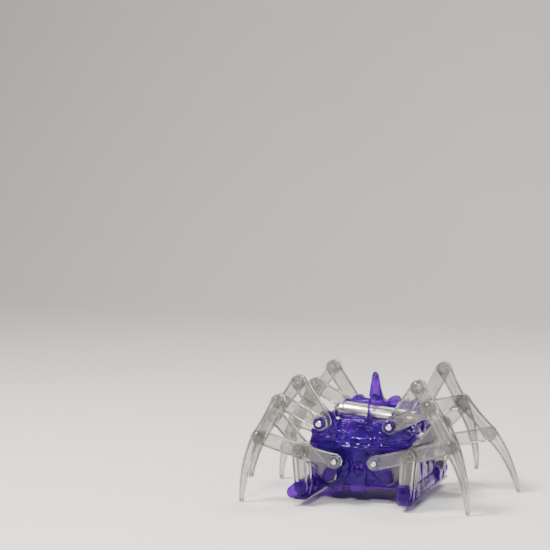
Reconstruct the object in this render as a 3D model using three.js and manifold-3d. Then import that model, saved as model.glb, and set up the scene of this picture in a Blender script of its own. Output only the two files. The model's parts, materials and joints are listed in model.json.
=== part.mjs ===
// Walking spider toy with eight legs, each a six-bar crank linkage, in millimetres.
// +X runs across the robot from the left legs to the right legs, +Y from the near side to the far side,
// +Z up. The claws stand on z = 0.
import * as THREE from 'three';
import { mergeVertices } from 'three/addons/utils/BufferGeometryUtils.js';
import Module from 'manifold-3d';

const wasm = await Module();
wasm.setup();

// Leg linkage, in the plane of one leg: u points outward and z up, from the foot bracket's pivot.
const footPivotX = 28.8;
const footPivotZ = 10.3;
const upperPivot = [-9.4, 34.7];
const crankCentre = [-15.1, 9.8];
const crankRadius = 5.4;
const couplerToLower = 19.8;
const couplerToLeg = 24;
const couplerBend = 3;
const lowerRockerLength = 19;
const upperRockerLength = 25;
const legTopLength = 23.4;
const clawLength = 36.6;
const clawAngle = -15;

// Crank angle of each corner's outer leg, counter-clockwise seen from the near side.
const corners = [
  { name: 'near_left', x: -1, y: -1, crank: 60 },
  { name: 'near_right', x: 1, y: -1, crank: 120 },
  { name: 'far_left', x: -1, y: 1, crank: 240 },
  { name: 'far_right', x: 1, y: 1, crank: 240 },
];

// Layers, as distances from the middle plane of the robot.
const gap = 0.4;
const linkThickness = 2.8;
const wallInner = 21.6;
const wallOuter = 24;
const crankDisc = [wallOuter + gap, 27];
const headThickness = 0.7;
const innerLayers = layersFrom(crankDisc[1] + gap);
const outerLayers = layersFrom(innerLayers.leg[1] + 2.1);
const outerCheek = [outerLayers.leg[1] + gap, outerLayers.leg[1] + gap + 2.2];

// Link sections and pivots.
const bossRadius = 4.1;
const pinRadius = 1.25;
const pinGap = 0.3;
const openPivotGap = 1.05;
const headRadius = 2.9;
const crankPinRadius = 1.7;
const framePinRadius = 1.5;
const lowerEndRadius = 3.5;
const axleRadius = 1.6;
const idlerAxleRadius = 1.1;

// Body.
const chassisBottom = 8;
const floorThickness = 1.6;
const beamZ = footPivotZ - lowerEndRadius - 1.8;
const seamZ = 31.6;
const seamGap = 0.3;
const bodyHalfLength = 29;
const shellTopHalfLength = 27.4;
const rimZ = 43.6;
const batteryRadius = 5.25;
const batteryLength = 44.5;
const batteryX = 2.2;
const batteryZ = 45.2;
const batteryTilt = 5.5; // degrees, left end up
const troughRadius = batteryRadius + 0.5;
const wall = 1.8;

// Gears, all turning about axes along Y.
const crankZ = footPivotZ + crankCentre[1];
const crankX = footPivotX + crankCentre[0];
const axleTeeth = 20;
const idlerTeeth = 10;
const wheelTeeth = 20;
const pinionTeeth = 8;
const gearModule = (2 * crankX) / (axleTeeth + idlerTeeth);
const pinionDistance = (gearModule * (wheelTeeth + pinionTeeth)) / 2;
const pinionAngle = THREE.MathUtils.degToRad(128);
const motor = {
  x: pinionDistance * Math.cos(pinionAngle),
  z: crankZ + pinionDistance * Math.sin(pinionAngle),
};
const switchX = 29.2;
const wheelPlane = [10.8, 13.4];
const axlePlane = [14, 17];

const violet = { color: 0x3b2fb4, roughness: 0.2, metalness: 0, transparent: true, opacity: 0.8 };
const smoke = { color: 0xb9b6b2, roughness: 0.15, metalness: 0, transparent: true, opacity: 0.5 };
const nickel = { color: 0xc9c5bb, roughness: 0.3, metalness: 1 };
const steel = { color: 0xa9abae, roughness: 0.35, metalness: 1 };
const nylon = { color: 0xe4e2da, roughness: 0.5, metalness: 0 };
const brass = { color: 0xc79e52, roughness: 0.35, metalness: 1 };

function layersFrom(start) {
  const coupler = [start, start + linkThickness];
  return { coupler, leg: [coupler[1] + gap, coupler[1] + gap + linkThickness] };
}

// Solids

function solid(geometry) {
  geometry.deleteAttribute('normal');
  geometry.deleteAttribute('uv');
  const merged = mergeVertices(geometry, 1e-4);
  return new wasm.Manifold(new wasm.Mesh({
    numProp: 3,
    vertProperties: new Float32Array(merged.attributes.position.array),
    triVerts: new Uint32Array(merged.index.array),
  }));
}

function join(parts) {
  return parts.reduce((whole, part) => whole.add(part));
}

function cut(body, tools) {
  return tools.reduce((rest, tool) => rest.subtract(tool), body);
}

// A plate with its outline in X and Z, between two places along Y.
function plate(shape, y0, y1, segments = 6) {
  const depth = Math.abs(y1 - y0);
  const options = { depth, bevelEnabled: false, curveSegments: segments };
  const geometry = new THREE.ExtrudeGeometry(shape, options);
  geometry.rotateX(Math.PI / 2);
  geometry.translate(0, Math.max(y0, y1), 0);
  return solid(geometry);
}

// A bar with its outline in Y and Z, between two places along X.
function bar(shape, x0, x1, segments = 8) {
  const options = { depth: x1 - x0, bevelEnabled: false, curveSegments: segments };
  const geometry = new THREE.ExtrudeGeometry(shape, options);
  geometry.rotateX(Math.PI / 2);
  geometry.rotateZ(Math.PI / 2);
  geometry.translate(x0, 0, 0);
  return solid(geometry);
}

function rod(x, z, radius, y0, y1, sides = 14) {
  const geometry = new THREE.CylinderGeometry(radius, radius, Math.abs(y1 - y0), sides);
  geometry.translate(x, (y0 + y1) / 2, z);
  return solid(geometry);
}

function box(x0, x1, y0, y1, z0, z1) {
  const geometry = new THREE.BoxGeometry(x1 - x0, Math.abs(y1 - y0), z1 - z0);
  geometry.translate((x0 + x1) / 2, (y0 + y1) / 2, (z0 + z1) / 2);
  return solid(geometry);
}

function polygon(points) {
  return new THREE.Shape(points.map(([a, b]) => new THREE.Vector2(a, b)));
}

// A bar outline with round ends of two radii, from the origin along +x.
function stadium(length, startRadius, endRadius) {
  const lean = Math.asin((startRadius - endRadius) / length);
  const shape = new THREE.Shape();
  shape.absarc(0, 0, startRadius, Math.PI / 2 - lean, (3 * Math.PI) / 2 + lean, false);
  shape.absarc(length, 0, endRadius, -Math.PI / 2 + lean, Math.PI / 2 - lean, false);
  return shape;
}

function named(name, body, look) {
  const { vertProperties, triVerts } = body.getMesh();
  const geometry = new THREE.BufferGeometry();
  geometry.setAttribute('position', new THREE.BufferAttribute(vertProperties, 3));
  geometry.setIndex(new THREE.BufferAttribute(triVerts, 1));
  geometry.computeVertexNormals();
  const mesh = new THREE.Mesh(geometry, new THREE.MeshStandardMaterial(look));
  mesh.name = name;
  return mesh;
}

// Linkage

function turned([x, z], degrees) {
  const angle = THREE.MathUtils.degToRad(degrees);
  return [x * Math.cos(angle) - z * Math.sin(angle), x * Math.sin(angle) + z * Math.cos(angle)];
}

// The point at two given distances from a and b, on the left of the way from a to b.
function meet(a, fromA, b, fromB) {
  const [dx, dz] = [b[0] - a[0], b[1] - a[1]];
  const distance = Math.hypot(dx, dz);
  const along = (distance ** 2 + fromA ** 2 - fromB ** 2) / (2 * distance);
  const across = Math.sqrt(fromA ** 2 - along ** 2);
  const [ux, uz] = [dx / distance, dz / distance];
  return [a[0] + along * ux - across * uz, a[1] + along * uz + across * ux];
}

function beyond(from, through, length, bend) {
  const reach = Math.hypot(through[0] - from[0], through[1] - from[1]);
  const [x, z] = turned([(through[0] - from[0]) / reach, (through[1] - from[1]) / reach], bend);
  return [through[0] + length * x, through[1] + length * z];
}

// Pivots of one leg in the robot's X and Z, for a crank angle seen from the near side.
function pivots(side, crankAngle) {
  const phase = side > 0 ? crankAngle : 180 - crankAngle;
  const [px, pz] = turned([crankRadius, 0], phase);
  const crank = [crankCentre[0] + px, crankCentre[1] + pz];
  const lower = meet(crank, couplerToLower, [0, 0], lowerRockerLength);
  const knee = beyond(crank, lower, couplerToLeg, couplerBend);
  const top = meet(upperPivot, upperRockerLength, knee, legTopLength);
  const inPlace = ([u, z]) => [side * (footPivotX + u), footPivotZ + z];
  return {
    crank: inPlace(crank),
    lower: inPlace(lower),
    knee: inPlace(knee),
    top: inPlace(top),
    upper: inPlace(upperPivot),
    foot: inPlace([0, 0]),
  };
}

// Links, drawn from their first pivot along +x in a slab centred on y = 0.
// hand mirrors the outline, out is the side of the robot that the link's outer face looks to.

function link(length, startRadius, endRadius = startRadius) {
  return plate(stadium(length, startRadius, endRadius), -linkThickness / 2, linkThickness / 2, 5);
}

function hole(x, z, radius) {
  return rod(x, z, radius, -linkThickness, linkThickness, 8);
}

// A snap pin through the neighbouring link, with its head beyond that link.
function snapPin(x, z, toward) {
  const face = linkThickness / 2 - 0.2;
  const reach = linkThickness / 2 + gap + linkThickness + 0.2;
  return join([
    rod(x, z, pinRadius, toward * face, toward * (reach + 0.1), 8),
    rod(x, z, headRadius, toward * reach, toward * (reach + headThickness), 10),
  ]);
}

function upperRocker() {
  return cut(link(upperRockerLength, bossRadius), [
    hole(0, 0, framePinRadius + pinGap),
    hole(upperRockerLength, 0, pinRadius + openPivotGap),
  ]);
}

function lowerRocker() {
  return cut(link(lowerRockerLength, lowerEndRadius, 3.7), [
    hole(0, 0, framePinRadius + pinGap),
    hole(lowerRockerLength, 0, pinRadius + openPivotGap),
  ]);
}

function coupler(hand, out) {
  const [bx, bz] = turned([couplerToLeg, 0], hand * couplerBend);
  const knee = [couplerToLower + bx, bz];
  const whole = join([
    link(couplerToLower, 4),
    link(couplerToLeg, 4).rotate([0, -hand * couplerBend, 0]).translate([couplerToLower, 0, 0]),
    snapPin(couplerToLower, 0, out),
    snapPin(...knee, out),
  ]);
  return cut(whole, [hole(0, 0, crankPinRadius + pinGap)]);
}

// Straight top arm, then a claw that bends down and tapers to its tip.
function leg(hand, out) {
  const knee = new THREE.Vector2(legTopLength, 0);
  const [cx, cz] = turned([clawLength, 0], hand * clawAngle);
  const tip = new THREE.Vector2(legTopLength + cx, cz);
  const claw = new THREE.QuadraticBezierCurve(knee, new THREE.Vector2(legTopLength + 17.5, 0), tip);
  const steps = 6;
  const sides = [[], []];
  for (let i = 0; i <= steps; i += 1) {
    const t = i / steps;
    const point = claw.getPoint(t);
    const along = claw.getTangent(t);
    const half = THREE.MathUtils.lerp(3.9, 1.15, t ** 0.9);
    const back = t === 1 ? 0.7 : 0;
    sides[0].push([point.x - along.x * back - along.y * half, point.y - along.y * back + along.x * half]);
    sides[1].push([point.x - along.x * back + along.y * half, point.y - along.y * back - along.x * half]);
  }
  const outline = polygon([...sides[0], [tip.x, tip.y], ...sides[1].reverse()]);
  const whole = join([
    link(legTopLength, bossRadius),
    plate(outline, -linkThickness / 2, linkThickness / 2),
    snapPin(0, 0, -out),
  ]);
  return cut(whole, [hole(legTopLength, 0, pinRadius + pinGap)]);
}

function placeLink(mesh, from, to, y) {
  mesh.position.set(from[0], y, from[1]);
  mesh.rotation.y = -Math.atan2(to[1] - from[1], to[0] - from[0]);
  return mesh;
}

function legSet(corner, which, crankAngle, layers) {
  const at = pivots(corner.x, crankAngle);
  const name = (piece) => `${corner.name}_${which}_${piece}`;
  const middle = (layer) => (corner.y * (layer[0] + layer[1])) / 2;
  const crankLayer = middle(layers.coupler);
  const legLayer = middle(layers.leg);
  const group = new THREE.Group();
  group.add(
    placeLink(named(name('coupler'), coupler(corner.x, corner.y), smoke), at.crank, at.lower, crankLayer),
    placeLink(named(name('lower_rocker'), lowerRocker(), smoke), at.foot, at.lower, legLayer),
    placeLink(named(name('upper_rocker'), upperRocker(), smoke), at.upper, at.top, crankLayer),
    placeLink(named(name('leg'), leg(corner.x, corner.y), smoke), at.top, at.knee, legLayer),
  );
  return group;
}

// One end of a crankshaft: disc, inner pin, web, outer pin and cap.
function crank(corner) {
  const s = corner.y;
  const centre = [corner.x * crankX, crankZ];
  const [dx, dz] = turned([crankRadius, 0], corner.crank);
  const outer = [centre[0] + dx, centre[1] + dz];
  const inner = [centre[0] - dx, centre[1] - dz];
  const web = plate(stadium(2 * crankRadius, 3, 3), -linkThickness / 2, linkThickness / 2);
  const webY = (s * (innerLayers.leg[0] + innerLayers.leg[1])) / 2;
  const whole = join([
    rod(...centre, 8, s * crankDisc[0], s * crankDisc[1], 18),
    rod(...inner, crankPinRadius, s * (crankDisc[1] - 0.2), s * (innerLayers.leg[0] + 0.2), 10),
    web.rotate([0, -corner.crank, 0]).translate([inner[0], webY, inner[1]]),
    rod(...outer, crankPinRadius, s * (innerLayers.leg[1] - 0.2), s * (outerLayers.leg[0] + 0.2), 10),
    rod(...outer, 4, s * outerLayers.leg[0], s * (outerLayers.leg[0] + 1.4), 12),
  ]);
  return named(`${corner.name}_crank`, cut(whole, [
    rod(...centre, axleRadius + pinGap, s * (crankDisc[0] - 1), s * (crankDisc[1] + 0.1), 10),
  ]), violet);
}

// Stepped post that carries both upper rockers of a corner, and its screw head.
function upperPost(corner) {
  const [x, z] = pivots(corner.x, 0).upper;
  const s = corner.y;
  return named(`${corner.name}_upper_pivot`, join([
    rod(x, z, framePinRadius, s * (wallOuter - 1.2), s * (outerLayers.leg[0] + 0.2), 10),
    rod(x, z, 3, s * (innerLayers.coupler[1] + gap), s * (outerLayers.coupler[0] - gap), 14),
    rod(x, z, 3.1, s * outerLayers.leg[0], s * (outerLayers.leg[0] + 1.4), 14),
  ]), steel);
}

function footPin(corner) {
  const s = corner.y;
  const [x, z] = [corner.x * footPivotX, footPivotZ];
  return named(`${corner.name}_foot_pivot`, join([
    rod(x, z, framePinRadius, s * (wallOuter + 0.6), s * (outerCheek[1] + 0.4), 12),
    rod(x, z, 2.5, s * (outerCheek[1] + 0.3), s * (outerCheek[1] + 1.1), 12),
  ]), steel);
}

// Body

// Cheeks that hold both lower rockers of a corner. The outer one ends in a rounded foot: the left feet reach
// out to the left, and the right feet point down.
function footCheeks(corner) {
  const [sx, sy] = [corner.x, corner.y];
  const footX = sx * footPivotX;
  const outline = new THREE.Shape();
  outline.moveTo(footX - 3.6, beamZ);
  outline.lineTo(footX + 3.6, beamZ);
  outline.absarc(footX, footPivotZ, 4, 0, Math.PI, false);
  const cheek = (from, to) => plate(outline, sy * from, sy * to, 7);
  const [near, far] = outerCheek;
  const [reach, drop, radius] = sx < 0 ? [4.6, 148, 3.4] : [3.4, 98, 3.1];
  const tongue = plate(stadium(reach, 4, radius), (near - far) / 2, (far - near) / 2, 7);
  return [
    cheek(wallOuter - 0.5, innerLayers.leg[0] - gap),
    cheek(innerLayers.leg[1] + gap, outerLayers.leg[0] - gap),
    tongue.rotate([0, drop, 0]).translate([footX, (sy * (near + far)) / 2, footPivotZ]),
  ];
}

// The beam under one end of the tub, from the near feet to the far feet.
function footBeam(s) {
  const footX = s * footPivotX;
  const section = polygon([
    [footX - 3.4, beamZ - 1.2], [footX + 3.4, beamZ - 1.2], [footX + 4.4, beamZ],
    [footX + 3.6, beamZ + 1.2], [footX - 3.6, beamZ + 1.2], [footX - 4.4, beamZ],
  ]);
  return join([
    plate(section, -outerCheek[1], outerCheek[1]),
    box(footX - 3.2, footX + 3.2, -wallOuter, wallOuter, beamZ, 11),
  ]);
}

// An open tub with two tabs under each long wall and a beam under each end.
function chassis() {
  const floorTop = chassisBottom + floorThickness;
  const outer = [[27, chassisBottom], [bodyHalfLength + 1.5, 12], [bodyHalfLength, seamZ]];
  const inner = [[26, floorTop], [bodyHalfLength - 0.4, 12.6], [bodyHalfLength - wall, seamZ + 2]];
  const mirrored = (points) => polygon([...points, ...points.map(([x, z]) => [-x, z]).reverse()]);
  const tub = cut(plate(mirrored(outer), -wallOuter, wallOuter), [
    plate(mirrored(inner), -wallInner, wallInner),
  ]);
  const solids = [
    tub,
    ...[-11.5, 5].map((y) => box(motor.x - 3, motor.x + 4, y, y + 2, floorTop - 0.3, motor.z - 7.5 - 0.4)),
    footBeam(-1),
    footBeam(1),
    ...corners.flatMap(footCheeks),
  ];
  const bores = [];
  for (const s of [-1, 1]) {
    for (const x of [-12, -1.5]) {
      const tab = [s * wallInner, s * wallOuter, chassisBottom - 1.8, chassisBottom + 1];
      solids.push(box(x - 1.8, x + 1.8, ...tab));
    }
    for (const x of [-1, 1]) {
      bores.push(rod(x * crankX, crankZ, axleRadius + pinGap, s * 18, s * 26, 10));
      bores.push(rod(x * footPivotX, footPivotZ, framePinRadius + pinGap, s * (wallOuter + 0.2), s * 50, 10));
    }
    bores.push(rod(0, crankZ, idlerAxleRadius + pinGap, s * 18, s * 26, 10));
  }
  return named('lower_chassis', cut(join(solids), bores), violet);
}

// The upper shell's cross-section in Y and Z, before the trough is cut.
function shellProfile(inset) {
  const side = wallOuter - inset;
  const foot = seamZ + seamGap - (inset ? 1 : 0);
  const half = [[side, foot], [side, 35.5 - inset * 0.4], [10.4 - inset * 0.4, rimZ - inset]];
  return polygon([...half, ...half.map(([y, z]) => [-y, z]).reverse()]);
}

// Leans a solid drawn level about the battery's middle, as the battery leans.
function leaned(solidPart) {
  return solidPart
    .translate([-batteryX, 0, -batteryZ])
    .rotate([0, batteryTilt, 0])
    .translate([batteryX, 0, batteryZ]);
}

function ear(corner) {
  const [x, z] = pivots(corner.x, 0).upper;
  const s = corner.y;
  const foot = seamZ + 1.2;
  const root = polygon([[x - 7.5, foot], [x + 7.5, foot], [x + 4.9, z + 1], [x - 4.9, z + 1]]);
  return join([
    plate(root, s * wallInner, s * wallOuter),
    rod(x, z, 5.1, s * wallInner, s * wallOuter, 16),
    rod(x, z, 3.4, s * (wallOuter - 0.5), s * (innerLayers.coupler[0] - gap), 12),
    box(x - 1, x + 1, ...[s * 12, s * (wallInner + 0.5)].sort((a, b) => a - b), 36, 41),
  ]);
}

// The shell's cross-section run along X, with both ends leaning inward toward the top, less the trough.
function shellBody(inset) {
  const [foot, top] = [bodyHalfLength - inset, shellTopHalfLength - inset];
  const ends = polygon([[-foot, seamZ - 1], [foot, seamZ - 1], [top, rimZ + 6], [-top, rimZ + 6]]);
  const ring = new THREE.Shape();
  ring.absarc(0, batteryZ, troughRadius + inset, 0, 2 * Math.PI, false);
  return bar(shellProfile(inset), -foot, foot)
    .intersect(plate(ends, -wallOuter - 1, wallOuter + 1))
    .subtract(leaned(bar(ring, -40, 40)));
}

function upperShell() {
  const skin = shellBody(0).subtract(shellBody(wall));
  const stopAt = batteryLength / 2 + 1.5;
  const stops = [-1, 1].map((s) => {
    const near = batteryX + s * stopAt;
    const far = near + s * 1.6;
    return leaned(box(Math.min(near, far), Math.max(near, far), -7.5, 7.5, 37.7, 44.2));
  });
  const bores = corners.map((corner) => {
    const [x, z] = pivots(corner.x, 0).upper;
    return rod(x, z, framePinRadius + pinGap, corner.y * (wallOuter - 1.5), corner.y * 30, 10);
  });
  const slot = box(switchX - 3, bodyHalfLength + 1, -14, -7.6, 35.4, 37.4);
  return named('upper_shell', cut(join([skin, ...stops, ...corners.map(ear)]), [...bores, slot]), violet);
}

// Rear deck, a fin that sweeps up from it, and the loop that comes down in front of the battery.
function deck() {
  const bottom = rimZ + seamGap;
  const hull = polygon([
    [-19, bottom], [25, bottom], [25.6, 49], [21, 51.5], [-13, 51.5], [-18, 49],
  ]);
  const hollow = box(-16, 22, 10.4, 17.7, bottom - 1, 49.4);
  const loop = new THREE.Shape();
  loop.moveTo(19, 50);
  loop.quadraticCurveTo(10.5, 53, 9.3, 63.5);
  loop.absarc(4.6, 63.8, 4.7, 0, 2.5, false);
  loop.quadraticCurveTo(-7.5, 55, -9.9, bottom);
  loop.lineTo(-8.2, bottom);
  loop.quadraticCurveTo(-6.4, 54.5, 1.9, 63.4);
  loop.absarc(4.6, 63.6, 2.7, 2.9, 0, true);
  loop.quadraticCurveTo(8, 56, 8.6, 50);
  const slender = [box(-3, -0.8, -12, 0.5, 40, 70), box(0.8, 3, -12, 0.5, 40, 70)];
  const finSide = polygon([
    [19, 50], [13.2, 53.4], [10.4, 58], [9.4, 63], [7.4, 63], [8.2, 56], [8.6, 50],
  ]);
  const finBack = polygon([[-4.8, 49], [4.8, 49], [1.9, 63.5], [-1.9, 63.5]]);
  const fin = bar(finSide, -5, 5).intersect(plate(finBack, 0, 25));
  const bumps = [[-12, 3.2], [9, 3.4], [21, 2.6]].map(([x, radius]) => (
    rod(x, 50.8, radius, 11.5, 17.5, 12)
  ));
  return named('top_deck_and_loop', join([
    cut(plate(hull, 8.6, 19.5), [hollow]),
    cut(bar(loop, -1.9, 1.9, 6), slender),
    box(-2, 2, -10.4, -8, bottom, bottom + 1.3),
    fin,
    ...bumps,
  ]), violet);
}

function gear(teeth, x, z, turn, y0, y1) {
  const pitch = (gearModule * teeth) / 2;
  const step = (2 * Math.PI) / teeth;
  const profile = [[-0.27, -1.1], [-0.11, 0.85], [0.11, 0.85], [0.27, -1.1]];
  const points = [];
  for (let i = 0; i < teeth; i += 1) {
    for (const [along, rise] of profile) {
      const angle = turn + (i + along) * step;
      const radius = pitch + rise * gearModule;
      points.push([x + radius * Math.cos(angle), z + radius * Math.sin(angle)]);
    }
  }
  return plate(polygon(points), y0, y1);
}

function gears() {
  const bore = (x, radius) => rod(x, crankZ, radius, 0, 30, 12);
  const axleStep = Math.PI / axleTeeth;
  const train = [-1, 1].map((s) => named(`${s < 0 ? 'left' : 'right'}_axle_gear`, cut(join([
    gear(axleTeeth, s * crankX, crankZ, s < 0 ? axleStep : Math.PI + axleStep, ...axlePlane),
    rod(s * crankX, crankZ, 3, axlePlane[0], axlePlane[1] + 1.5, 12),
  ]), [bore(s * crankX, axleRadius + pinGap)]), nylon));
  const axles = [-1, 1].map((s) => named(`${s < 0 ? 'left' : 'right'}_axle`,
    rod(s * crankX, crankZ, axleRadius, -crankDisc[1] + 0.3, crankDisc[1] - 0.3, 6), steel));
  const idler = named('idler_gear', join([
    rod(0, crankZ, idlerAxleRadius, -wallOuter + 0.4, wallOuter - 0.4, 10),
    gear(idlerTeeth, 0, crankZ, 0, ...axlePlane),
    rod(0, crankZ, 2.6, wheelPlane[1] - 0.1, axlePlane[0] + 0.1, 12),
    gear(wheelTeeth, 0, crankZ, pinionAngle, ...wheelPlane),
  ]), nylon);
  const pinion = named('motor_pinion', join([
    gear(pinionTeeth, motor.x, motor.z, pinionAngle + Math.PI + Math.PI / pinionTeeth, ...wheelPlane),
    rod(motor.x, motor.z, 1, wheelPlane[0] - 0.4, wheelPlane[1] + 0.8, 10),
  ]), brass);
  return [...train, ...axles, idler, pinion];
}

function motorCan() {
  const radius = 10;
  const flat = Math.asin(7.5 / radius);
  const can = new THREE.Shape();
  can.absarc(motor.x, motor.z, radius, -flat, flat, false);
  can.absarc(motor.x, motor.z, radius, Math.PI - flat, Math.PI + flat, false);
  return [
    named('motor', join([
      plate(can, -13.4, 9, 8),
      rod(motor.x, motor.z, 3, 8.8, 10, 14),
    ]), steel),
    named('motor_end_cap', join([
      plate(can, -15.3, -13.7, 8),
      rod(motor.x, motor.z, 3.6, -16.6, -15.2, 14),
    ]), nylon),
  ];
}

function battery() {
  const half = batteryLength / 2;
  const profile = [
    [0, -half], [batteryRadius - 0.6, -half], [batteryRadius, -half + 0.6], [batteryRadius, half - 1.8],
    [batteryRadius - 0.7, half - 1], [1.9, half - 1], [1.9, half], [0, half],
  ].map(([r, x]) => new THREE.Vector2(r, x));
  const geometry = new THREE.LatheGeometry(profile, 18);
  geometry.rotateZ(Math.PI / 2);
  geometry.translate(batteryX, 0, batteryZ);
  const contact = (s) => {
    const near = batteryX + s * (half + 0.3);
    const far = near + s * 0.8;
    return leaned(box(Math.min(near, far), Math.max(near, far), -4.2, 4.2, 41.2, 48.2));
  };
  return [
    named('battery', leaned(solid(geometry)), nickel),
    named('left_contact', contact(-1), steel),
    named('right_contact', contact(1), steel),
  ];
}

function powerSwitch() {
  return named('power_switch', join([
    box(switchX - 2.6, switchX + 0.4, -12, -9.6, 35.8, 37),
    box(switchX + 0.3, switchX + 2, -12.6, -9, 35, 37.8),
  ]), nylon);
}

const robot = new THREE.Group();
robot.add(chassis(), upperShell(), deck(), ...battery(), ...motorCan(), ...gears(), powerSwitch());
for (const corner of corners) {
  robot.add(crank(corner), upperPost(corner), footPin(corner));
  robot.add(legSet(corner, 'outer', corner.crank, outerLayers));
  robot.add(legSet(corner, 'inner', corner.crank + 180, innerLayers));
}

// The origin lies on the floor under the middle of the whole robot.
const extent = new THREE.Box3().setFromObject(robot, true);
robot.position.set(-(extent.min.x + extent.max.x) / 2, -(extent.min.y + extent.max.y) / 2, -extent.min.z);

const part = new THREE.Group();
part.add(robot);
export default part;
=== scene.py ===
"""Walking spider toy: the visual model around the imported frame.

Shapes are drawn in millimetres in the body's own axes: X across the robot, Y from the near side to the
far side, Z up, with X = 0 midway between the crankshafts. place() turns them into metres in the frame's
axes. A hand of -1 is the left and 1 the right. An out of -1 is the near side and 1 the far side, and an
s is either of them: the side of the wall that a detail stands on.
"""
import json
import math

import bmesh
import bpy
from mathutils import Matrix, Vector


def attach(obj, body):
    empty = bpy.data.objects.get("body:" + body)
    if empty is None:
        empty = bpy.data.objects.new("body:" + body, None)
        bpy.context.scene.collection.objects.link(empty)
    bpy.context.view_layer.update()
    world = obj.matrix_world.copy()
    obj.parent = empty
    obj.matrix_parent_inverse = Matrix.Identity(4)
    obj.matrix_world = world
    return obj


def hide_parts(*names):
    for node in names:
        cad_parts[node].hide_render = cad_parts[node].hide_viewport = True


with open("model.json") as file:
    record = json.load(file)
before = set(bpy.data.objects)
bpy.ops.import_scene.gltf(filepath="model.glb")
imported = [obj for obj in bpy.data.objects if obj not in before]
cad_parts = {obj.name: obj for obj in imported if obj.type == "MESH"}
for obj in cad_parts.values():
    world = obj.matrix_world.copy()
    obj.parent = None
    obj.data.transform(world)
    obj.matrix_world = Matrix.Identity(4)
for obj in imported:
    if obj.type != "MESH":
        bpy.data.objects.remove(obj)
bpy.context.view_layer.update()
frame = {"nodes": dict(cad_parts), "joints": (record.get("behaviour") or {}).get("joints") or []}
scene = bpy.context.scene

# Linkage lengths
COUPLER_TO_LOWER = 19.8
COUPLER_TO_LEG = 24.0
COUPLER_BEND = math.radians(3)
LOWER_ROCKER = 19.0
UPPER_ROCKER = 25.0
LEG_TOP = 23.4
CLAW = 36.6
CLAW_ANGLE = math.radians(-15)
CLAW_BEND = 17.5  # from the knee to the control point of the claw's curve
CRANK_RADIUS = 5.4

# Thickness, half-widths and bores of the links
HALF = 1.4  # half of a link's thickness
ARM_HALF, KNEE_HALF, TIP_HALF = 4.1, 3.95, 1.12
PIVOT_BORE = 1.62
CRANK_BORE = 1.85
KNEE_BORE = 1.38
OPEN_BORE = 2.02  # holes at the open pivots leave room for the pins to wander

# Places in the body's axes
CRANK_X, CRANK_Z = 13.7, 20.1
UPPER_X, UPPER_Z = 19.4, 45.0
FOOT_X, FOOT_Z = 28.8, 10.3
WALL_Y = 24.0
SEAM_Z = 31.6
RIM_Z = 43.6
SHELL_END = 29.0
CELL_X, CELL_Z, CELL_RADIUS, CELL_HALF = 2.2, 45.2, 5.25, 22.25
CELL_LEAN = math.radians(5.5)  # the cell's left end stands higher
MIDDLE_Y = {"inner": {"crank": 28.8, "leg": 32.0}, "outer": {"crank": 36.9, "leg": 40.1}}
CORNERS = [("near_left", -1, -1), ("near_right", 1, -1), ("far_left", -1, 1), ("far_right", 1, 1)]
UNDERSIDE_SCREWS = [(x, y) for x in (-20.5, 20.5) for y in (-16.5, 16.5)]
SHELL_SCREWS = {"left": (-16, -15), "right": (15, -15)}
DECK_SCREWS = [(-6.5, 14.3), (15, 14.3)]

# Clean-up after a modifier, and the angle from which an edge is rounded
MERGE_DISTANCE = 0.002
SHORTEST_EDGE = 0.001
BEVEL_ANGLE = math.radians(35)

pivot_at = {j["name"]: Vector(j["pos_m"]) for j in frame["joints"] if "pos_m" in j}
left_shaft, right_shaft = pivot_at["left_crankshaft_turn"], pivot_at["right_crankshaft_turn"]
ORIGIN = Vector(((left_shaft.x + right_shaft.x) / 2, 0, left_shaft.z - CRANK_Z / 1000))


def place(point):
    return ORIGIN + Vector(point) / 1000


def flat(name):
    """A joint's place in the body's X and Z, in millimetres."""
    at = (pivot_at[name] - ORIGIN) * 1000
    return Vector((at.x, at.z))


# Solids: each is (points, faces)


def loft(loops):
    """A skin over a row of closed loops, capped at both ends."""
    count = len(loops[0])
    points = [Vector(p) for loop in loops for p in loop]
    faces = []
    for i in range(len(loops) - 1):
        for j in range(count):
            a, b = i * count + j, i * count + (j + 1) % count
            faces.append((a, b, b + count, a + count))
    faces.append(tuple(reversed(range(count))))
    faces.append(tuple(range((len(loops) - 1) * count, len(loops) * count)))
    return points, faces


def moved(solid, change):
    return [change @ p for p in solid[0]], solid[1]


def scratch(solid):
    """A passing object that modifiers can work on."""
    mesh = bpy.data.meshes.new("scratch")
    mesh.from_pydata([tuple(p) for p in solid[0]], [], solid[1])
    work = bmesh.new()
    work.from_mesh(mesh)
    bmesh.ops.recalc_face_normals(work, faces=work.faces)
    work.to_mesh(mesh)
    work.free()
    made = bpy.data.objects.new("scratch", mesh)
    scene.collection.objects.link(made)
    return made


def settled(worked, extra=()):
    """The solid that a scratch object's modifiers give. The scratch objects go."""
    evaluated = worked.evaluated_get(bpy.context.evaluated_depsgraph_get())
    mesh = evaluated.to_mesh()
    work = bmesh.new()
    work.from_mesh(mesh)
    bmesh.ops.remove_doubles(work, verts=work.verts, dist=MERGE_DISTANCE)
    bmesh.ops.dissolve_degenerate(work, edges=work.edges, dist=SHORTEST_EDGE)
    points = [v.co.copy() for v in work.verts]
    work.verts.index_update()
    faces = [tuple(v.index for v in face.verts) for face in work.faces]
    work.free()
    evaluated.to_mesh_clear()
    for gone in (worked, *extra):
        data = gone.data
        bpy.data.objects.remove(gone)
        bpy.data.meshes.remove(data)
    return points, faces


def boolean(solid, others, operation):
    worked = scratch(solid)
    tools = [scratch(other) for other in others]
    for tool in tools:
        step = worked.modifiers.new("step", "BOOLEAN")
        step.operation, step.solver, step.object = operation, "EXACT", tool
    return settled(worked, tools)


def union(solid, *others):
    return boolean(solid, others, "UNION")


def cut(solid, *others):
    return boolean(solid, others, "DIFFERENCE")


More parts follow.
